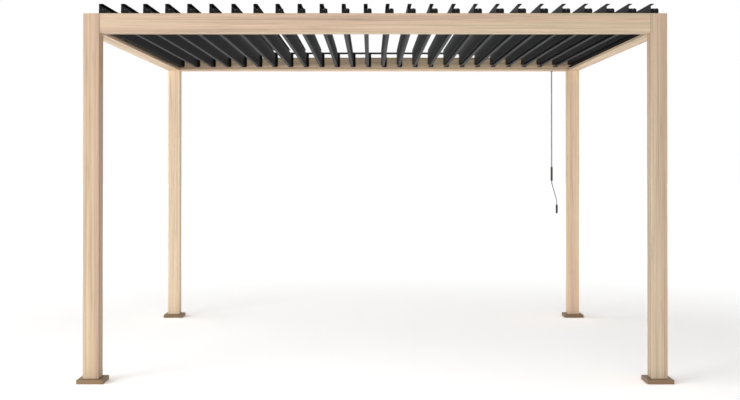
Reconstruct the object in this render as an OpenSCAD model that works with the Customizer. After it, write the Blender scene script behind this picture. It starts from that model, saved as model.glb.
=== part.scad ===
// Louvred pergola: four posts, a ring of gutter beams, turning louvres, a tie bar and a hand crank.
// Millimetres. X runs to the right, Y from the front to the back, Z up.
// The origin is the middle of the footprint, on the ground.

/* [Frame] */
// Width over the posts
frame_w = 3950; // [3700:50:4200]
// Depth over the posts
frame_l = 3150; // [2400:50:3600]
// Height of the posts and of the beam tops
frame_h = 2500; // [2200:50:2700]
// Side of the square posts and width of the beams
post_w = 110; // [104:2:120]
// Wall of the posts and beams
wall_t = 3; // [2:0.5:4]
// Outer corner radius of the posts
post_r = 4; // [2:0.5:5]
// How far the beams reach below the standing louvres
beam_under = 37; // [33:1:57]
// Height of the lip along the inner edge of a beam
lip_h = 18; // [14:1:20]
// Depth of the bead along the top of a beam's outer wall
bead_h = 8; // [5:1:10]
// Joint left between pieces that are screwed together
joint_gap = 0.3; // [0.2:0.1:0.5]

/* [Feet] */
// How far the base covers stand out from the posts
base_over = 34; // [30:1:45]
// Height of the base covers
base_h = 30; // [24:1:40]
// Sheet thickness of the base covers
base_t = 2.5; // [1.5:0.5:3]
// Chamfer around the top of a base cover
base_bevel = 3; // [1:0.5:4]
// Room between the foot plate's edge and the inside of its cover
foot_gap = 5.5; // [4:0.5:8]
// Thickness of the foot plate
foot_t = 6; // [5:1:10]
// Radius of the anchor holes in the foot plate
anchor_r = 5.5; // [4:0.5:6]

/* [Louvres] */
// Number of louvres
louvre_count = 26; // [25:1:26]
// Height of a standing louvre
louvre_h = 163; // [162:1:166]
// How far a standing louvre rises above the beams
louvre_rise = 70; // [68:1:72]
// Thickness of the hollow part of a louvre
blade_d = 32.5; // [31:0.5:34]
// Wall of the louvre extrusion
blade_t = 3; // [2:0.5:3]
// Length of the drip lip along the top of a louvre
drip_w = 27; // [22:0.5:27]
// Thickness of the drip lip at its root
drip_t = 4; // [3:0.5:4]
// Height of the open part between the drip lip and the hollow part
neck_h = 32; // [30:1:34]
// Height of the drip channel near the bottom of a louvre
channel_h = 17.5; // [16.5:0.5:18]
// Thickness of the flange under the drip channel
flange_t = 5.5; // [5:0.5:6]
// How far the flange stops short of the louvre's flat face
flange_back = 8; // [8:1:10]
// Width of the end caps
cap_w = 54.5; // [52:0.5:57]
// Thickness of the end caps
cap_t = 4; // [3:1:5]
// Radius of the rounded lower corner of an end cap
cap_r = 12; // [8:1:14]
// Radius of the rounded top of an end cap's free edge
cap_head_r = 14; // [11:1:15]
// Clearance from an end cap to the pivot rail
cap_gap = 5; // [5:1:6]
// Empty strip between the left posts' outer faces and the first louvre
first_margin = 97; // [95:1:98]
// Strip from the last louvre's flat face to the right posts' outer faces
last_margin = 103; // [102:1:107]

/* [Pivots and tie bar] */
// Distance of a pivot from the louvre's flat face
pivot_x = 10; // [9:1:11]
// Distance of a pivot below the top of a standing louvre
pivot_d = 80; // [79:1:81]
// Radius of the pivot pins
pivot_r = 4; // [3:0.5:4]
// Radial running clearance of the pins
run_gap = 0.06; // [0.04:0.01:0.1]
// Distance of the back pivot rail's inner face from the back beam's outer face
rail_in = 53; // [50:1:55]
// Distance of the front pivot rail's inner face from the front beam's outer face
rail_in_front = 33; // [30:1:40]
// Thickness of the pivot rails
rail_t = 3; // [3:0.5:4]
// Width of the foot flange of a pivot rail
rail_foot = 12; // [8:1:13]
// Room between the back end caps and the back pivot rail
back_room = 14; // [14:1:40]
// How far the pins reach past the rails
pin_over = 3; // [2:1:4]
// Distance of a tie bar pin from the louvre's flat face
tie_x = 6; // [5:1:6]
// Distance of a tie bar pin below the top of a standing louvre
tie_d = 43; // [42:1:45]
// How far the lead louvre's pin reaches into the gearbox
lead_in = 18; // [14:1:22]
// Radius of the tie bar pins
tie_r = 3; // [2.5:0.5:3]
// Clearance of all tie bar pins but the leading one
tie_gap = 0.3; // [0.2:0.1:0.4]
// Height of the tie bar
tie_h = 18; // [12:1:20]
// Thickness of the tie bar
tie_t = 4; // [3:0.5:5]
// Height of the tie bar's lower edge above its pins
tie_up = 4; // [4:0.5:6]
// Radius of the lugs under the tie bar
lug_r = 7; // [6:0.5:8]

/* [Hand crank] */
// Number of the louvre that the gearbox turns
lead_louvre = 25; // [2:1:25]
// Distance of the crank's rod in front of the back beam's outer face
crank_in = 27; // [25:1:28]
// Width of the gearbox
gear_w = 70; // [60:2:90]
// Depth of the gearbox
gear_d = 38; // [36:1:40]
// Height of the gearbox
gear_h = 60; // [50:2:80]
// Radius of the gearbox's vertical edges
gear_r = 6; // [3:1:8]
// Sideways distance from the lead louvre's pivot to the crank's rod
crank_off = 8; // [0:1:12]
// Radius of the crank's rod
rod_r = 6.5; // [5:0.5:7]
// Distance from the beams' underside to the upper grip
rod_drop = 928; // [700:10:1000]
// How far the rod runs up into the gearbox
rod_in = 20; // [15:1:25]
// Radius of the grips
grip_r = 10.5; // [10:0.5:13]
// Length of the upper grip
grip_l = 132; // [100:4:160]
// Running clearance inside the grips
grip_gap = 0.08; // [0.06:0.01:0.1]
// Thickness of the stop rings above and below the grips
ring_t = 3; // [2:0.5:4]
// Radius of the stop rings
ring_r = 8.5; // [8:0.5:9]
// Radius of the bent bar
bar_r = 5; // [4:0.5:5]
// Sideways step of the bent bar
step_x = 34; // [26:2:40]
// Step of the bent bar towards the front
step_y = 84; // [70:2:92]
// Height over which the bent bar steps out
step_z = 190; // [170:5:220]
// Radius of the two bends, along the bar's middle
bend_r = 36; // [24:2:40]
// Straight stretches above and below the bends
bar_end = 31; // [24:1:40]
// Length of the lower grip
handle_l = 81; // [70:1:120]
// Wall under the bent bar's end inside the lower grip
handle_end = 4; // [3:1:6]

/* [Hidden] */
$fn = 28;
pin_fn = 14;
eps = 0.01;

function two(i) = i < 10 ? str("0", i) : str(i);
function louvre_name(i) = str("louvre_", two(i));

half_w = frame_w / 2;
half_l = frame_l / 2;
beam_h = louvre_h - louvre_rise + beam_under;
beam_low = frame_h - beam_h;
floor_top = beam_low + wall_t;
louvre_pitch = (frame_w - first_margin - last_margin) / (louvre_count - 1);
louvre_top = frame_h + louvre_rise;
first_face = -half_w + first_margin;
pivot_z = louvre_top - pivot_d;
tie_z = louvre_top - tie_d;
cap_front = -half_l + rail_in_front + cap_gap;
cap_back = half_l - rail_in - back_room;
rail_back = half_l - rail_in;
tie_y = cap_back + cap_gap;
channel_top = louvre_h - flange_t - channel_h;
cap_top = neck_h + 6;
base_w = post_w + 2 * base_over;
foot_w = base_w - 2 * base_t - 2 * foot_gap;
crank_x = first_face + (lead_louvre - 1) * louvre_pitch + pivot_x - crank_off;
crank_y = half_l - crank_in;
gear_front = half_l - rail_in + rail_t + joint_gap;
gear_high = frame_h - rail_t - joint_gap;
grip_top = beam_low - rod_drop;
step = sqrt(step_x * step_x + step_y * step_y);
step_turn = atan2(-step_y, step_x);
bend_far = sqrt(step_z * step_z + (step - 2 * bend_r) * (step - 2 * bend_r));
bend_a = atan2(step - 2 * bend_r, step_z) + asin(2 * bend_r / bend_far);
bend_s = (step_z - 2 * bend_r * sin(bend_a)) / cos(bend_a);
grip_low = grip_top - grip_l;
step_top = grip_low - 2 * ring_t - 4;
handle_top = step_top - step_z - bar_end;

function face_x(i) = first_face + (i - 1) * louvre_pitch;

// A post with its outer corner at the origin, its foot plate and the opening for the gutters
module post() {
    cut_z = frame_h - beam_h + wall_t;
    inner = post_w - wall_t;
    difference() {
        union() {
            linear_extrude(frame_h)
                translate([post_r, post_r])
                    offset(r = post_r)
                        square(post_w - 2 * post_r);
            translate([(post_w - foot_w) / 2, (post_w - foot_w) / 2, 0])
                cube([foot_w, foot_w, foot_t]);
        }
        translate([wall_t, wall_t, foot_t])
            cube([post_w - 2 * wall_t, post_w - 2 * wall_t, frame_h]);
        translate([inner - eps, wall_t, cut_z])
            cube([wall_t + 1, post_w, beam_h]);
        translate([wall_t, inner - eps, cut_z])
            cube([post_w, wall_t + 1, beam_h]);
        for (x = [-1, 1], y = [-1, 1])
            translate([post_w / 2 + x * (post_w + foot_w) / 4,
                       post_w / 2 + y * (post_w + foot_w) / 4, -1])
                cylinder(r = anchor_r, h = foot_t + 2, $fn = pin_fn);
    }
}

// A base cover: a sheet skirt with a square hole for the post, centred on the post
module base_cover() {
    hole = post_w + 2 * joint_gap;
    difference() {
        union() {
            linear_extrude(base_h - base_bevel)
                square(base_w, center = true);
            translate([0, 0, base_h - base_bevel])
                linear_extrude(base_bevel, scale = (base_w - 2 * base_bevel) / base_w)
                    square(base_w, center = true);
        }
        translate([0, 0, -1])
            linear_extrude(base_h - base_t + 1)
                square(base_w - 2 * base_t, center = true);
        translate([0, 0, -1])
            linear_extrude(base_h + 2)
                offset(r = post_r)
                    square(hole - 2 * post_r, center = true);
    }
}

// The section of a gutter beam: outer wall at the left, floor, and lip at the right
module beam_section() {
    polygon([
        [0, 0], [post_w, 0], [post_w, lip_h], [post_w - wall_t - 2, lip_h],
        [post_w - wall_t - 2, lip_h - 2], [post_w - wall_t, lip_h - 4], [post_w - wall_t, wall_t],
        [wall_t, wall_t], [wall_t, beam_h - bead_h - 2], [wall_t + 2, beam_h - bead_h],
        [wall_t + 2, beam_h], [0, beam_h]
    ]);
}

// A gutter beam along X with its outer wall at Y = 0, centred on X
module beam(len) {
    translate([-len / 2, 0, beam_low])
        rotate([90, 0, 90])
            linear_extrude(len)
                beam_section();
}

module beam_front() {
    color("burlywood") translate([0, -half_l, 0]) beam(frame_w - 2 * post_w - 2 * joint_gap);
}

module beam_side() {
    beam(frame_l - 2 * post_w - 2 * joint_gap);
}

module beam_left() {
    color("burlywood") translate([-half_w, 0, 0]) rotate([0, 0, -90]) beam_side();
}

module beam_right() {
    color("burlywood") translate([half_w, 0, 0]) rotate([0, 0, 90]) beam_side();
}

module beam_back() {
    color("burlywood")
        difference() {
            translate([0, half_l, 0])
                rotate([0, 0, 180])
                    beam(frame_w - 2 * post_w - 2 * joint_gap);
            translate([crank_x, crank_y, beam_low - 1])
                cylinder(r = rod_r + 2.5, h = wall_t + 2);
        }
}

// A pivot rail along X with its outer side towards -Y, measured from a beam's outer face
module pivot_rail(inset) {
    len = frame_w - 2 * wall_t - 12;
    low = floor_top + joint_gap;
    top = frame_h;
    difference() {
        translate([-len / 2, 0, 0])
            rotate([90, 0, 90])
                linear_extrude(len)
                    polygon([
                        [inset - rail_foot, low], [inset, low], [inset, top],
                        [wall_t + 2 + joint_gap, top], [wall_t + 2 + joint_gap, top - rail_t],
                        [inset - rail_t, top - rail_t], [inset - rail_t, low + rail_t],
                        [inset - rail_foot, low + rail_t]
                    ]);
        children();
    }
}

module pivot_bores() {
    for (i = [1:louvre_count])
        translate([face_x(i) + pivot_x, 0, pivot_z])
            rotate([-90, 0, 0])
                cylinder(r = pivot_r + run_gap, h = 3 * rail_t, center = true, $fn = pin_fn);
}

module pivot_rail_front() {
    color("tan")
        translate([0, -half_l, 0])
            pivot_rail(rail_in_front)
                translate([0, rail_in_front - rail_t / 2, 0])
                    pivot_bores();
}

module pivot_rail_back() {
    color("tan")
        translate([0, half_l, 0])
            mirror([0, 1, 0])
                pivot_rail(rail_in)
                    translate([0, rail_in - rail_t / 2, 0])
                        pivot_bores();
}

// Outline shared by the louvre section and its end caps: X from the flat face, Y down from the top
module blade_section() {
    difference() {
        polygon([
            [0, 0], [drip_w, 0], [drip_w, 2.2], [blade_t, drip_t], [blade_t, neck_h],
            [blade_d, neck_h], [blade_d, louvre_h], [flange_back, louvre_h],
            [flange_back, louvre_h - flange_t], [blade_d - blade_t, louvre_h - flange_t],
            [blade_d - blade_t, channel_top], [0, channel_top]
        ]);
        polygon([
            [blade_t, neck_h + blade_t], [blade_d - blade_t, neck_h + blade_t],
            [blade_d - blade_t, channel_top - blade_t], [blade_t, channel_top - blade_t]
        ]);
    }
}

module cap_section() {
    difference() {
        union() {
            translate([0, cap_top])
                square([cap_w, louvre_h - cap_top - cap_r]);
            translate([0, louvre_h - cap_r - eps])
                square([cap_w - cap_r, cap_r + eps]);
            translate([cap_w - cap_r, louvre_h - cap_r])
                circle(r = cap_r);
            translate([cap_w - cap_head_r, cap_top + cap_head_r / 2])
                circle(r = cap_head_r);
            translate([14, cap_top + 2])
                circle(r = 7);
        }
        translate([-1, channel_top])
            square([blade_d - blade_t + 1, channel_h]);
        translate([-1, channel_top])
            square([flange_back + 1, louvre_h]);
    }
}

module louvre_section_at(y, len) {
    translate([0, y + len, 0])
        rotate([90, 0, 0])
            linear_extrude(len)
                mirror([0, 1])
                    children();
}

// One louvre, standing, with its end caps, pivot pins and tie bar pin
module louvre(i) {
    lead = i == lead_louvre;
    back_pin = rail_back + rail_t + (lead ? joint_gap + lead_in : pin_over);
    color("dimgray")
        translate([face_x(i), 0, louvre_top]) {
            louvre_section_at(cap_front + cap_t - 1, cap_back - cap_front - 2 * cap_t + 2)
                blade_section();
            louvre_section_at(cap_front, cap_t)
                cap_section();
            louvre_section_at(cap_back - cap_t, cap_t)
                cap_section();
            translate([pivot_x, cap_front + 1, -pivot_d])
                rotate([90, 0, 0])
                    cylinder(r = pivot_r, h = cap_gap + rail_t + pin_over + 1, $fn = pin_fn);
            translate([pivot_x, cap_back - 1, -pivot_d])
                rotate([-90, 0, 0])
                    cylinder(r = pivot_r, h = back_pin - cap_back + 1, $fn = pin_fn);
            translate([tie_x, cap_back - 1, -tie_d])
                rotate([-90, 0, 0])
                    cylinder(r = tie_r, h = cap_gap + tie_t + 2, $fn = pin_fn);
        }
}

// The tie bar: a flat bar over a row of lugs, one on each louvre's tie pin
module tie_bar() {
    first = face_x(1) + tie_x;
    run = (louvre_count - 1) * louvre_pitch;
    color("black")
        translate([first, tie_y + tie_t, tie_z])
            rotate([90, 0, 0])
                linear_extrude(tie_t)
                    difference() {
                        union() {
                            translate([-2 * lug_r, tie_up])
                                square([run + 4 * lug_r, tie_h]);
                            for (i = [1:louvre_count])
                                translate([(i - 1) * louvre_pitch, 0])
                                    union() {
                                        circle(r = lug_r, $fn = pin_fn);
                                        translate([-lug_r, 0])
                                            square([2 * lug_r, tie_up + 1]);
                                    }
                        }
                        for (i = [1:louvre_count])
                            translate([(i - 1) * louvre_pitch, 0])
                                circle(r = tie_r + (i == lead_louvre ? run_gap : tie_gap), $fn = pin_fn);
                    }
}

// The gearbox inside the back beam: the rod enters from below, the lead louvre's pin from the front
module gearbox() {
    color("gray")
        difference() {
            translate([crank_x, gear_front + gear_d / 2, gear_high - gear_h])
                linear_extrude(gear_h)
                    offset(r = gear_r)
                        square([gear_w - 2 * gear_r, gear_d - 2 * gear_r], center = true);
            translate([crank_x, crank_y, gear_high - gear_h - 1])
                cylinder(r = rod_r + run_gap, h = rod_in + 3);
            translate([crank_x + crank_off, gear_front - 1, pivot_z])
                rotate([-90, 0, 0])
                    cylinder(r = pivot_r + run_gap, h = lead_in + 3, $fn = pin_fn);
        }
}

// A stop ring around the crank's rod or bar, above z
module stop_ring(z) {
    translate([0, 0, z])
        cylinder(r = ring_r, h = ring_t);
}

// The straight rod, from the gearbox down through the upper grip
module crank_rod() {
    top = gear_high - gear_h + rod_in;
    low = grip_low - ring_t - joint_gap;
    color("silver")
        translate([crank_x, crank_y, 0]) {
            translate([0, 0, low])
                cylinder(r = rod_r, h = top - low);
            stop_ring(grip_top + joint_gap);
            stop_ring(low);
        }
}

// A grip that spins on a rod of the given radius, open at the top and, where low is 0, at the bottom
module grip(len, inner, low) {
    rotate_extrude()
        difference() {
            polygon([
                [0, 0], [grip_r - 2, 0], [grip_r, 3],
                [grip_r, len - 3], [grip_r - 2, len], [0, len]
            ]);
            translate([-1, low > 0 ? low : -1])
                square([inner + grip_gap + 1, len + 2]);
        }
}

module crank_grip() {
    color("black")
        translate([crank_x, crank_y, grip_low])
            grip(grip_l, rod_r, 0);
}

// One bend, starting downwards at the origin and leaning to +X, its ends sunk in the straight bars
module bend() {
    sunk = 1.6;
    rotate([90, 0, 0])
        translate([bend_r, 0, 0])
            rotate([0, 0, 180 - sunk])
                rotate_extrude(angle = bend_a + 2 * sunk)
                    translate([bend_r, 0])
                        circle(r = bar_r - 0.05);
}

// The bent bar under the rod: straight, bent out, slanted, bent back and straight through the lower grip
module crank_arm() {
    top = grip_low - ring_t - 2 * joint_gap;
    tail = handle_top - handle_l + handle_end + 1;
    color("silver")
        translate([crank_x, crank_y, 0])
            rotate([0, 0, step_turn]) {
                translate([0, 0, step_top])
                    cylinder(r = bar_r, h = top - step_top);
                translate([0, 0, top - ring_t])
                    cylinder(r = ring_r, h = ring_t);
                translate([0, 0, step_top])
                    bend();
                translate([bend_r - bend_r * cos(bend_a), 0, step_top - bend_r * sin(bend_a)])
                    rotate([0, -bend_a, 0])
                        translate([0, 0, -bend_s])
                            cylinder(r = bar_r, h = bend_s);
                translate([step, 0, step_top - step_z])
                    rotate([180, 0, 180])
                        bend();
                translate([step, 0, tail])
                    cylinder(r = bar_r, h = step_top - step_z - tail);
                translate([step, 0, 0])
                    stop_ring(handle_top + joint_gap);
            }
}

module crank_handle() {
    color("black")
        translate([crank_x + step_x, crank_y - step_y, handle_top - handle_l])
            grip(handle_l, bar_r, handle_end);
}

module at_corner(x, y) {
    translate([x * (half_w - post_w / 2), y * (half_l - post_w / 2), 0])
        children();
}

module post_at(x, y) {
    color("burlywood")
        at_corner(x, y)
            scale([-x, -y, 1])
                translate([-post_w / 2, -post_w / 2, 0])
                    post();
}

module base_at(x, y) {
    color("sienna")
        at_corner(x, y)
            base_cover();
}

post_at(-1, -1);  // post_front_left
post_at(1, -1);  // post_front_right
post_at(-1, 1);  // post_back_left
post_at(1, 1);  // post_back_right
base_at(-1, -1);  // base_front_left
base_at(1, -1);  // base_front_right
base_at(-1, 1);  // base_back_left
base_at(1, 1);  // base_back_right
beam_front();
beam_back();
beam_left();
beam_right();
pivot_rail_front();
pivot_rail_back();
for (i = [1:louvre_count])
    louvre(i);
tie_bar();
gearbox();
crank_rod();
crank_grip();
crank_arm();
crank_handle();
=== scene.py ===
import math
import random

import bmesh
import bpy
from mathutils import Matrix, Vector


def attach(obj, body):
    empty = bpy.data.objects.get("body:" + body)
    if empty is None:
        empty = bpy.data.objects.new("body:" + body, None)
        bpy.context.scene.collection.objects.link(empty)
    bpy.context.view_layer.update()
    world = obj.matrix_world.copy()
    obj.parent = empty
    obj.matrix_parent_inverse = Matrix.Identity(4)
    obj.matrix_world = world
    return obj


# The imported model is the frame
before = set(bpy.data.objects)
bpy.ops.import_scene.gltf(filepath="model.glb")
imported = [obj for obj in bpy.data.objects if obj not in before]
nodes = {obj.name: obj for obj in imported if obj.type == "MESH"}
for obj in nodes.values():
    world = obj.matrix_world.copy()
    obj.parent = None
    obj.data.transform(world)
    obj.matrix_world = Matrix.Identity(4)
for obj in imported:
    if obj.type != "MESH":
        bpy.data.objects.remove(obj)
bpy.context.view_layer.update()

# Main sizes in metres, as in the part's source
HALF_W, HALF_L = 3.950 / 2, 3.150 / 2
TOP = 2.500
LOUVRES = 26
FIRST_FACE, PITCH = -HALF_W + 0.097, 0.150
LOUVRE_TOP = 2.570
CAP_FRONT, CAP_BACK, CAP_T = -1.537, 1.508, 0.004
PIVOT_X, PIVOT_Z = 0.010, 2.490
TIE_X, TIE_Z, TIE_BACK = 0.006, 2.527, 1.517
RAIL_FRONT, RAIL_BACK, RAIL_T = -1.542, 1.522, 0.003
ROD_X, ROD_Y, BEAM_UNDER = 1.724, 1.548, 2.370
JOINT_X = HALF_W - 0.1103
JOINT_Y = HALF_L - 0.1103


def linear(r, g, b):
    """An sRGB colour of 0 to 255 as linear RGBA."""
    out = []
    for c in (r, g, b):
        c /= 255.0
        out.append(c / 12.92 if c <= 0.04045 else ((c + 0.055) / 1.055) ** 2.4)
    return (*out, 1.0)


# Camera at the photograph's viewpoint: nearly level, with a small shift
cam_data = bpy.data.cameras.new("camera")
cam_data.sensor_width = 36.0
cam_data.lens = 51.85
cam_data.shift_y = -0.0614
cam = bpy.data.objects.new("camera", cam_data)
cam.location = (-0.035, -HALF_L - 7.20, 1.5015)
cam.rotation_euler = (math.radians(90.34), 0, 0)
bpy.context.scene.collection.objects.link(cam)
bpy.context.scene.camera = cam


# Painted light and shade: a factor on the plain oak print for each profile, lightening or darkening it where the lamps
# give too little or too much light
PAINTED_LIGHT_TINTS = {
    "post_front_left": (0.90, 0.89, 0.89),
    "post_front_right": (0.905, 0.90, 0.92),
    "post_back_left": (1.07, 1.085, 1.105),
    "post_back_right": (1.09, 1.09, 1.10),
    "beam_front": (0.92, 0.92, 0.93),
    "beam_back": (1.06, 1.04, 1.06),
    "beam_left": (1.0, 1.0, 1.0),
    "beam_right": (1.0, 1.0, 1.0),
    "rails": (1.10, 1.09, 1.10),
}


# Material building blocks
class Mat:
    """A node material with a Principled shader and short helpers."""

    def __init__(self, name):
        self.m = bpy.data.materials.new(name)
        self.m.use_nodes = True
        self.t = self.m.node_tree
        self.t.nodes.clear()
        self.out = self.t.nodes.new("ShaderNodeOutputMaterial")
        self.b = self.t.nodes.new("ShaderNodeBsdfPrincipled")
        self.t.links.new(self.b.outputs[0], self.out.inputs[0])
        self.coord = self.t.nodes.new("ShaderNodeTexCoord").outputs["Object"]

    def link(self, a, b):
        self.t.links.new(a, b)

    def stretched(self, scale, offset=(0, 0, 0), source=None):
        n = self.t.nodes.new("ShaderNodeMapping")
        n.inputs["Scale"].default_value = scale
        n.inputs["Location"].default_value = offset
        self.link(source or self.coord, n.inputs["Vector"])
        return n.outputs[0]

    def noise(self, vector, scale=1.0, detail=4.0, rough=0.55, distortion=0.0):
        n = self.t.nodes.new("ShaderNodeTexNoise")
        n.inputs["Scale"].default_value = scale
        n.inputs["Detail"].default_value = detail
        n.inputs["Roughness"].default_value = rough
        n.inputs["Distortion"].default_value = distortion
        self.link(vector, n.inputs["Vector"])
        return n.outputs["Fac"]

    def ramp(self, fac, stops):
        n = self.t.nodes.new("ShaderNodeValToRGB")
        e = n.color_ramp.elements
        while len(e) < len(stops):
            e.new(0.5)
        for el, (pos, col) in zip(e, stops):
            el.position = pos
            el.color = col if isinstance(col, tuple) else (col, col, col, 1)
        self.link(fac, n.inputs[0])
        return n.outputs[0]

    def mix(self, fac, a, b, blend="MIX"):
        n = self.t.nodes.new("ShaderNodeMix")
        n.data_type = "RGBA"
        n.blend_type = blend
        for value, sock in ((fac, n.inputs[0]), (a, n.inputs[6]), (b, n.inputs[7])):
            if isinstance(value, (int, float, tuple)):
                sock.default_value = value
            else:
                self.link(value, sock)
        return n.outputs[2]

    def math(self, op, a, b=0.0, c=0.0):
        n = self.t.nodes.new("ShaderNodeMath")
        n.operation = op
        for value, sock in zip((a, b, c), n.inputs):
            if isinstance(value, (int, float)):
                sock.default_value = value
            else:
                self.link(value, sock)
        return n.outputs[0]

    def axis(self, which):
        n = self.t.nodes.new("ShaderNodeSeparateXYZ")
        self.link(self.coord, n.inputs[0])
        return n.outputs[which]

    def bump(self, height, strength, distance):
        n = self.t.nodes.new("ShaderNodeBump")
        n.inputs["Strength"].default_value = strength
        n.inputs["Distance"].default_value = distance
        self.link(height, n.inputs["Height"])
        self.link(n.outputs[0], self.b.inputs["Normal"])

    def set(self, **values):
        for key, value in values.items():
            self.b.inputs[key.replace("_", " ")].default_value = value


def wood(name, along, seed, painted_light_tint=(1.0, 1.0, 1.0), seam_shade=None, foot_shade=None, figure=0.95):
    """Light oak print on a coated profile, its grain running along one axis, with painted light and shade from a factor
    for each profile, painted shade in the joints at its ends and, where asked, painted shade towards a low level.
    """
    m = Mat(name)
    rnd = random.Random(seed)
    off = tuple(rnd.uniform(-40, 40) for _ in range(3))

    def scale(cross, length):
        return tuple(length if i == along else cross for i in range(3))

    # Painted light and shade: every colour stop of the print is multiplied by the profile's factor
    def shade(r, g, b):
        tinted = [c * t for c, t in zip((r, g, b), painted_light_tint)]
        limit = min(1.0, 252 / max(tinted))
        return linear(*(c * limit for c in tinted))

    tone = m.noise(m.stretched(scale(14, 0.22), off), 1.0, 2.0, 0.5, 0.2)
    field = m.noise(m.stretched(scale(8.5, 0.26), off), 1.0, 2.5, 0.5, 0.4)
    mid = m.noise(m.stretched(scale(62, 0.36), off), 1.0, 3.5, 0.66, 0.35)
    fine = m.noise(m.stretched(scale(170, 2.4), off), 1.0, 3.5, 0.65, 0.25)
    pores = m.noise(m.stretched(scale(850, 17.0), off), 1.0, 2.0, 0.5)

    # Growth rings as contour lines of a slow field, which close into long flames
    turn = m.math("MULTIPLY", field, 17.0)
    wave = m.math("PINGPONG", turn, 1.0)
    rings = m.ramp(wave, [(0.0, 0.80), (0.16, 0.95), (0.5, 1.0), (1.0, 1.03)])

    base = m.ramp(tone, [(0.30, shade(214, 184, 158)), (0.46, shade(222, 194, 164)),
                         (0.58, shade(229, 205, 172)), (0.72, shade(235, 214, 180))])
    streak = m.ramp(mid, [(0.30, 0.62), (0.42, 0.86), (0.52, 1.0), (0.68, 1.16)])
    thin = m.ramp(fine, [(0.28, 0.76), (0.44, 0.95), (0.58, 1.0), (0.76, 1.08)])
    pore = m.ramp(pores, [(0.30, 0.74), (0.38, 1.0)])
    col = m.mix(figure, base, streak, "MULTIPLY")
    col = m.mix(0.55, col, rings, "MULTIPLY")
    col = m.mix(1.0, col, thin, "MULTIPLY")
    col = m.mix(0.7, col, pore, "MULTIPLY")
    # Painted shade in the joints where a beam meets the posts, at both ends
    if seam_shade:
        axis, edge = seam_shade
        away = m.math("ABSOLUTE", m.axis(axis))
        near = m.math("SUBTRACT", away, edge - 0.0045)
        dark = m.ramp(m.math("MULTIPLY", near, 1 / 0.003), [(0.0, 1.0), (1.0, 0.50)])
        col = m.mix(1.0, col, dark, "MULTIPLY")
    # Painted shade towards a low level: at the bottom of a post above its cover, and in the gutter behind a beam's lip
    if foot_shade:
        low, depth, least = foot_shade
        near = m.math("SUBTRACT", low + depth, m.axis(2))
        dark = m.ramp(m.math("MULTIPLY", near, 1 / depth), [(0.0, 1.0), (0.5, least), (1.0, least)])
        col = m.mix(1.0, col, dark, "MULTIPLY")
    m.link(col, m.b.inputs["Base Color"])
    m.link(m.ramp(fine, [(0.3, 0.60), (0.7, 0.50)]), m.b.inputs["Roughness"])
    relief = m.math("ADD", m.math("MULTIPLY", fine, 0.6), m.math("MULTIPLY", pore, 0.4))
    m.bump(relief, 0.12, 0.0006)
    m.set(Specular_IOR_Level=0.25)
    return m.m


def powder(name, dark, light, rough, grain=0.35, spread=2.4):
    """A fine-textured powder coat with slow colour drift."""
    m = Mat(name)
    drift = m.noise(m.stretched((spread, spread * 0.4, spread)), 1.0, 3.0)
    speck = m.noise(m.coord, 900.0, 3.0, 0.6)
    col = m.ramp(drift, [(0.35, linear(*dark)), (0.65, linear(*light))])
    col = m.mix(0.5, col, m.ramp(speck, [(0.35, 0.86), (0.6, 1.06)]), "MULTIPLY")
    m.link(col, m.b.inputs["Base Color"])
    m.link(m.ramp(speck, [(0.3, rough + 0.06), (0.7, rough - 0.06)]), m.b.inputs["Roughness"])
    m.bump(speck, grain, 0.0004)
    m.set(Specular_IOR_Level=0.3)
    return m.m


def louvre_coat():
    """Anthracite powder coat on the extrusion and black plastic on its end caps."""
    m = Mat("louvre_coat")
    drift = m.noise(m.stretched((9, 0.7, 9)), 1.0, 3.0)
    speck = m.noise(m.coord, 800.0, 3.0, 0.6)
    draw = m.noise(m.stretched((420, 1.5, 420)), 1.0, 2.0, 0.5)
    coat = m.ramp(drift, [(0.3, linear(26, 27, 28)), (0.7, linear(33, 34, 35))])
    coat = m.mix(0.5, coat, m.ramp(speck, [(0.35, 0.86), (0.6, 1.06)]), "MULTIPLY")
    coat = m.mix(0.35, coat, m.ramp(draw, [(0.35, 0.88), (0.6, 1.04)]), "MULTIPLY")
    black = m.ramp(speck, [(0.3, linear(11, 11, 12)), (0.7, linear(17, 17, 18))])
    y = m.axis(1)
    front = m.math("LESS_THAN", y, CAP_FRONT + CAP_T + 0.0002)
    back = m.math("GREATER_THAN", y, CAP_BACK - CAP_T - 0.0002)
    cap = m.math("MAXIMUM", front, back)
    m.link(m.mix(cap, coat, black), m.b.inputs["Base Color"])
    m.link(m.ramp(speck, [(0.3, 0.66), (0.7, 0.54)]), m.b.inputs["Roughness"])
    m.bump(speck, 0.25, 0.0004)
    m.set(Specular_IOR_Level=0.12)
    return m.m


def metal(name, dark, light, rough, metallic, along=2):
    """Drawn metal with fine lines along it."""
    m = Mat(name)
    scale = tuple(6.0 if i == along else 700.0 for i in range(3))
    lines = m.noise(m.stretched(scale), 1.0, 3.0)
    col = m.ramp(lines, [(0.35, linear(*dark)), (0.65, linear(*light))])
    m.link(col, m.b.inputs["Base Color"])
    m.link(m.ramp(lines, [(0.3, rough + 0.08), (0.7, rough - 0.06)]), m.b.inputs["Roughness"])
    m.bump(lines, 0.12, 0.0003)
    m.set(Metallic=metallic)
    return m.m


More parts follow.
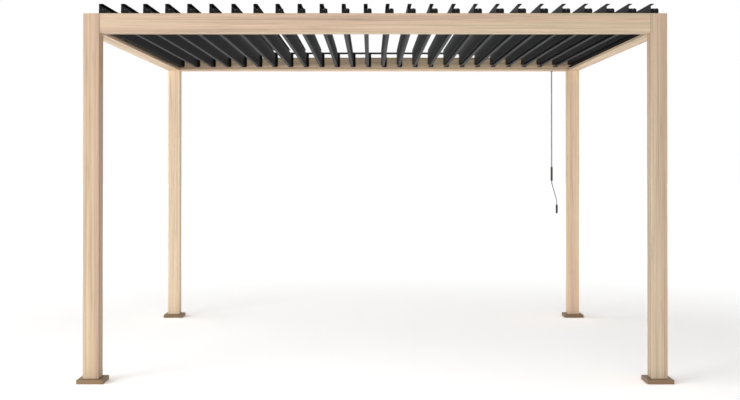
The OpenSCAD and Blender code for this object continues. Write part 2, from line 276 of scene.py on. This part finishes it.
def plastic(name, rough, ribs=None):
    """Black moulded plastic with a fine spark-eroded grain and, on a grip, shallow ribs around it."""
    m = Mat(name)
    speck = m.noise(m.coord, 1400.0, 3.0, 0.6)
    col = m.ramp(speck, [(0.3, linear(36, 37, 35)), (0.7, linear(50, 51, 48))])
    m.link(col, m.b.inputs["Base Color"])
    m.link(m.ramp(speck, [(0.3, rough + 0.08), (0.7, rough - 0.05)]), m.b.inputs["Roughness"])
    height = m.math("MULTIPLY", speck, 0.12)
    if ribs:
        wave = m.math("SINE", m.math("MULTIPLY", m.axis(2), 2 * math.pi / ribs))
        height = m.math("ADD", height, m.math("MULTIPLY", wave, 0.5))
    m.bump(height, 0.5, 0.0008)
    return m.m


def dress(node, material, bevel=None, segments=2):
    """Gives a CAD node its finish and, where wanted, softly rounded edges."""
    o = nodes[node]
    o.data.materials.clear()
    o.data.materials.append(material)
    if bevel:
        mod = o.modifiers.new("edges", "BEVEL")
        mod.width = bevel
        mod.segments = segments
        mod.limit_method = "ANGLE"
        mod.angle_limit = math.radians(40)
        mod.harden_normals = False
    return o


# Frame: posts, beams and pivot rails, with painted shade at the bottom of a post, in the gutter behind a beam's lip and
# in the joints at a beam's ends
FOOT_SHADE = (0.030, 0.007, 0.62)
GUTTER_SHADE = (2.376, 0.024, 0.62)
dress("post_front_left", wood("oak_post_front_left", 2, 1, PAINTED_LIGHT_TINTS["post_front_left"], foot_shade=FOOT_SHADE, figure=0.65), 0.0008)
dress("post_front_right", wood("oak_post_front_right", 2, 2, PAINTED_LIGHT_TINTS["post_front_right"], foot_shade=FOOT_SHADE, figure=0.65), 0.0008)
dress("post_back_left", wood("oak_post_back_left", 2, 3, PAINTED_LIGHT_TINTS["post_back_left"], foot_shade=FOOT_SHADE, figure=0.65), 0.0008)
dress("post_back_right", wood("oak_post_back_right", 2, 4, PAINTED_LIGHT_TINTS["post_back_right"], foot_shade=FOOT_SHADE, figure=0.65), 0.0008)
dress("beam_front", wood("oak_beam_front", 0, 5, PAINTED_LIGHT_TINTS["beam_front"], (0, JOINT_X)), 0.0008)
dress("beam_back", wood("oak_beam_back", 0, 6, PAINTED_LIGHT_TINTS["beam_back"], (0, JOINT_X)), 0.0008)
dress("beam_left", wood("oak_beam_left", 1, 7, PAINTED_LIGHT_TINTS["beam_left"], (1, JOINT_Y)), 0.0008)
dress("beam_right", wood("oak_beam_right", 1, 8, PAINTED_LIGHT_TINTS["beam_right"], (1, JOINT_Y)), 0.0008)
dress("pivot_rail_front", wood("oak_rail_front", 0, 9, PAINTED_LIGHT_TINTS["rails"], foot_shade=GUTTER_SHADE), 0.0004)
dress("pivot_rail_back", wood("oak_rail_back", 0, 10, PAINTED_LIGHT_TINTS["rails"], foot_shade=GUTTER_SHADE), 0.0004)

# Base covers
cover = powder("brown_coat", (132, 107, 79), (143, 118, 90), 0.5)
for corner in ("front_left", "front_right", "back_left", "back_right"):
    dress("base_" + corner, cover, 0.0008)

# Louvres, tie bar and gearbox
coat = louvre_coat()
for i in range(1, LOUVRES + 1):
    dress("louvre_%02d" % i, coat, 0.0005)
dress("tie_bar", powder("dark_coat", (40, 40, 42), (52, 52, 54), 0.5), 0.0004)
dress("gearbox", powder("cast_coat", (112, 113, 115), (128, 129, 131), 0.55), 0.0006)

# Hand crank
rod_metal = metal("grey_rod", (146, 147, 142), (168, 169, 164), 0.42, 0.0)
grip_black = plastic("black_grip", 0.45, 0.008)
dress("crank_rod", rod_metal, 0.0004)
dress("crank_arm", rod_metal, 0.0004)
dress("crank_grip", grip_black, 0.0006)
dress("crank_handle", grip_black, 0.0006)


# Fixings too small for the simulation: screws, washers and the grommet of the crank rod
def disc(bm, centre, radius, thick, axis=1, segments=20, top=0.75, drive=0.0):
    """A screw head or washer: a low turned disc with a chamfered face and, where wanted, a sunk drive."""
    profile = [(0.0, 0.0), (radius, 0.0), (radius, thick * 0.45), (radius * top, thick)]
    if drive:
        profile += [(drive, thick), (drive * 0.85, thick * 0.35)]
    profile.append((0.0, profile[-1][1]))
    sign = 1 if axis > 0 else -1
    rings = []
    for r, h in profile:
        ring = []
        for k in range(segments if r else 1):
            a = 2 * math.pi * k / segments
            u, v = r * math.cos(a), r * math.sin(a)
            if abs(axis) == 3:
                co = (centre[0] + u, centre[1] + v, centre[2] + sign * h)
            else:
                co = (centre[0] + u, centre[1] + sign * h, centre[2] + v)
            ring.append(bm.verts.new(co))
        rings.append(ring)
    for low, high in zip(rings, rings[1:]):
        for k in range(segments):
            quad = [low[k % len(low)], low[(k + 1) % len(low)], high[(k + 1) % len(high)], high[k % len(high)]]
            quad = [v for i, v in enumerate(quad) if v not in quad[:i]]
            bm.faces.new(quad)


def piece(name, body, material, build):
    """One joined mesh of small parts that rides on a body."""
    bm = bmesh.new()
    build(bm)
    bmesh.ops.recalc_face_normals(bm, faces=bm.faces)
    mesh = bpy.data.meshes.new(name)
    bm.to_mesh(mesh)
    bm.free()
    for poly in mesh.polygons:
        poly.use_smooth = False
    mesh.materials.append(material)
    o = bpy.data.objects.new(name, mesh)
    bpy.context.scene.collection.objects.link(o)
    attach(o, body)
    return o


zinc = metal("dull_zinc", (96, 97, 99), (124, 125, 127), 0.42, 0.7, 1)
nylon = plastic("black_nylon", 0.5)


def cap_screws(face):
    def build(bm):
        for x, z in ((0.0265, 0.0405), (0.0030 + 0.0235, 0.1150)):
            disc(bm, (face + x, CAP_FRONT, LOUVRE_TOP - z), 0.0030, 0.0014, -1, 16, 0.7, 0.0013)
            disc(bm, (face + x, CAP_BACK, LOUVRE_TOP - z), 0.0030, 0.0014, 1, 16, 0.7, 0.0013)
    return build


for i in range(LOUVRES):
    face = FIRST_FACE + i * PITCH
    name = "louvre_%02d" % (i + 1)
    piece(name + "_screws", name, zinc, cap_screws(face))


def tie_washers(bm):
    for i in range(LOUVRES):
        disc(bm, (FIRST_FACE + i * PITCH + TIE_X, TIE_BACK, TIE_Z), 0.0055, 0.0012, 1, 20, 0.85)


def rail_screws(bm):
    for i in range(LOUVRES // 2):
        x = FIRST_FACE + (2 * i + 1) * PITCH - 0.045
        disc(bm, (x, RAIL_FRONT, 2.440), 0.0048, 0.0024, 1, 18, 0.7, 0.0022)
        disc(bm, (x, RAIL_BACK, 2.440), 0.0048, 0.0024, -1, 18, 0.7, 0.0022)


piece("tie_bar_washers", "tie_bar", nylon, tie_washers)
piece("rail_screws", "frame", powder("painted_screw", (196, 172, 143), (208, 184, 155), 0.5), rail_screws)


def grommet(bm):
    """A ring of soft plastic around the crank rod where it leaves the beam."""
    profile = [(0.0078, 0.0012), (0.0078, -0.0042), (0.0098, -0.0042), (0.0135, -0.0016), (0.0135, 0.0012)]
    rings = []
    for r, h in profile:
        rings.append([bm.verts.new((ROD_X + r * math.cos(a), ROD_Y + r * math.sin(a), BEAM_UNDER + h))
                      for a in (2 * math.pi * k / 32 for k in range(32))])
    for low, high in zip(rings, rings[1:] + rings[:1]):
        for k in range(32):
            bm.faces.new((low[k], low[(k + 1) % 32], high[(k + 1) % 32], high[k]))


piece("rod_grommet", "frame", nylon, grommet)


# Floor, backdrop light and lamps
FLOOR_NEAR, FLOOR_FAR = 2.15, 2.75


def seen_rays(tree):
    """1 for camera, glossy and transmission rays, so that metal and glass show the same background."""
    path = tree.nodes.new("ShaderNodeLightPath")
    total = path.outputs["Is Camera Ray"]
    for name in ("Is Glossy Ray", "Is Transmission Ray"):
        n = tree.nodes.new("ShaderNodeMath")
        n.operation = "MAXIMUM"
        tree.links.new(total, n.inputs[0])
        tree.links.new(path.outputs[name], n.inputs[1])
        total = n.outputs[0]
    return total


def floor():
    size = 60.0
    mesh = bpy.data.meshes.new("floor")
    mesh.from_pydata([(-size, -size, 0), (size, -size, 0), (size, size, 0), (-size, size, 0)], [], [(0, 1, 2, 3)])
    o = bpy.data.objects.new("floor", mesh)
    bpy.context.scene.collection.objects.link(o)
    m = bpy.data.materials.new("pale_floor")
    m.use_nodes = True
    t = m.node_tree
    t.nodes.clear()
    out = t.nodes.new("ShaderNodeOutputMaterial")
    diffuse = t.nodes.new("ShaderNodeBsdfDiffuse")
    noise = t.nodes.new("ShaderNodeTexNoise")
    noise.inputs["Scale"].default_value = 3.0
    ramp = t.nodes.new("ShaderNodeValToRGB")
    ramp.color_ramp.elements[0].color = (0.86, 0.86, 0.86, 1)
    ramp.color_ramp.elements[1].color = (0.88, 0.88, 0.88, 1)
    t.links.new(noise.outputs["Fac"], ramp.inputs[0])
    t.links.new(ramp.outputs[0], diffuse.inputs["Color"])
    # Seen directly, in a reflection or through glass, the floor is lifted to the backdrop's white and keeps its shadows
    lifted = t.nodes.new("ShaderNodeBsdfDiffuse")
    place = t.nodes.new("ShaderNodeTexCoord")
    reach = t.nodes.new("ShaderNodeVectorMath")
    reach.operation = "LENGTH"
    t.links.new(place.outputs["Object"], reach.inputs[0])
    white = t.nodes.new("ShaderNodeMapRange")
    for socket, value in zip(white.inputs[1:5], (3.0, 8.0, FLOOR_NEAR, FLOOR_FAR)):
        socket.default_value = value
    t.links.new(reach.outputs["Value"], white.inputs[0])
    t.links.new(white.outputs[0], lifted.inputs["Color"])
    mix = t.nodes.new("ShaderNodeMixShader")
    t.links.new(seen_rays(t), mix.inputs[0])
    t.links.new(diffuse.outputs[0], mix.inputs[1])
    t.links.new(lifted.outputs[0], mix.inputs[2])
    t.links.new(mix.outputs[0], out.inputs[0])
    mesh.materials.append(m)
    return o


floor()

world = bpy.data.worlds.new("studio")
bpy.context.scene.world = world
world.use_nodes = True
wt = world.node_tree
wt.nodes.clear()
w_out = wt.nodes.new("ShaderNodeOutputWorld")
w_seen = wt.nodes.new("ShaderNodeBackground")
w_seen.inputs["Color"].default_value = (1, 1, 1, 1)
w_seen.inputs["Strength"].default_value = 1.0
w_mix = wt.nodes.new("ShaderNodeMixShader")
wt.links.new(seen_rays(wt), w_mix.inputs[0])
wt.links.new(w_seen.outputs[0], w_mix.inputs[2])
wt.links.new(w_mix.outputs[0], w_out.inputs[0])


def sky(tree):
    """Soft light of the studio: bright walls, a dimmer ceiling and two broad low glows, a stronger one from the left
    and a weaker one from the right.
    """
    direction = tree.nodes.new("ShaderNodeTexCoord").outputs["Generated"]

    def calc(op, a, b=0.0):
        n = tree.nodes.new("ShaderNodeMath")
        n.operation = op
        for value, sock in zip((a, b), n.inputs):
            if isinstance(value, (int, float)):
                sock.default_value = value
            else:
                tree.links.new(value, sock)
        return n.outputs[0]

    def lobe(az, el, power):
        """A broad glow around one direction, azimuth 0 from the front and 90 from the left."""
        a, e = math.radians(az), math.radians(el)
        n = tree.nodes.new("ShaderNodeVectorMath")
        n.operation = "DOT_PRODUCT"
        tree.links.new(direction, n.inputs[0])
        n.inputs[1].default_value = (-math.sin(a) * math.cos(e), -math.cos(a) * math.cos(e), math.sin(e))
        return calc("POWER", calc("MAXIMUM", n.outputs["Value"], 0.0), power)

    split = tree.nodes.new("ShaderNodeSeparateXYZ")
    tree.links.new(direction, split.inputs[0])
    up = calc("MAXIMUM", split.outputs[2], 0.0)
    total = calc("ADD", calc("MULTIPLY", calc("POWER", calc("SUBTRACT", 1.0, up), 1.5), WALLS), CEILING)
    for az, el, power, strength in GLOWS:
        total = calc("ADD", total, calc("MULTIPLY", lobe(az, el, power), strength))
    n = tree.nodes.new("ShaderNodeBackground")
    n.inputs["Color"].default_value = (1, 1, 1, 1)
    tree.links.new(total, n.inputs["Strength"])
    return n.outputs[0]


WALLS, CEILING = 0.36, 0.18
GLOWS = [(88, 4, 4.0, 1.36), (-80, 4, 5.0, 0.62)]
wt.links.new(sky(wt), w_mix.inputs[1])


def lamp(name, place, target, size, power, spread=180):
    data = bpy.data.lights.new(name, "AREA")
    data.shape = "RECTANGLE"
    data.size, data.size_y = size
    data.energy = power
    data.spread = math.radians(spread)
    o = bpy.data.objects.new(name, data)
    o.location = place
    o.rotation_euler = (Vector(target) - Vector(place)).to_track_quat("-Z", "Y").to_euler()
    bpy.context.scene.collection.objects.link(o)
    return o


lamp("key", (-6.5, -7.0, 2.0), (0.2, 0, 1.7), (5, 2.6), 275)
# A broad low front light that reaches in under the front beam
lamp("front", (0, -10.5, 1.25), (0, 0, 1.9), (7, 1.6), 270)
# The white floor's bounce onto everything that faces down
bounce = lamp("bounce", (0, -0.1, 0.012), (0, -0.1, 2.0), (4.6, 4.2), 45, 100)
bounce.visible_camera = False
bounce.visible_glossy = False

scene = bpy.context.scene
scene.view_settings.view_transform = "Standard"
